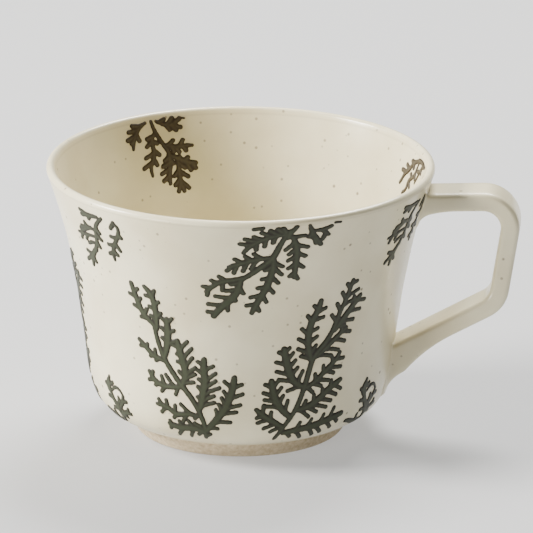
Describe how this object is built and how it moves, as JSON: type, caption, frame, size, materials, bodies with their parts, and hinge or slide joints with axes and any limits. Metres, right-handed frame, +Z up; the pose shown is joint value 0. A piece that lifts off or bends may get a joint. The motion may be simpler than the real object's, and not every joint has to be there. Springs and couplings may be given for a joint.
{
  "type": "stoneware mug",
  "caption": "Wide flared stoneware cup with a strap handle, bare foot ring, pale speckled glaze and raised plant sprigs outside and inside the rim.",
  "frame": {"origin": "centre of the foot ring's underside, on the cup's axis", "axes": "+Z up along the cup's axis, +X out through the handle"},
  "size_m": [0.1312, 0.108, 0.076],
  "materials": {
    "bare_stoneware": "unglazed tan stoneware, fine sandy surface",
    "luting_slip": "fired slip, unglazed",
    "cream_glaze": "satin cream glaze with sparse fine iron specks",
    "sprig_colour": "dark brown-green slip under a thin glaze, lighter and greyer in the middle of each leaf"
  },
  "bodies": {
    "root": {"cup_body": "bare_stoneware", "handle": "bare_stoneware", "lower_slip_joint": "luting_slip", "upper_slip_joint": "luting_slip", "cup_glaze": "cream_glaze", "handle_glaze": "cream_glaze", "well_glaze": "cream_glaze", "tall_sprig_left_1": "sprig_colour", "tall_sprig_left_2": "sprig_colour", "tall_sprig_left_3": "sprig_colour", "tall_sprig_right_1": "sprig_colour", "tall_sprig_right_2": "sprig_colour", "tall_sprig_right_3": "sprig_colour", "low_sprig_1": "sprig_colour", "low_sprig_2": "sprig_colour", "low_sprig_3": "sprig_colour", "rim_sprig_fan_1": "sprig_colour", "rim_sprig_fan_2": "sprig_colour", "rim_sprig_fan_3": "sprig_colour", "rim_sprig_spray_1": "sprig_colour", "rim_sprig_spray_2": "sprig_colour", "rim_sprig_spray_3": "sprig_colour", "inner_sprig_fan_1": "sprig_colour", "inner_sprig_fan_2": "sprig_colour", "inner_sprig_spray_1": "sprig_colour"}
  },
  "joints": []
}
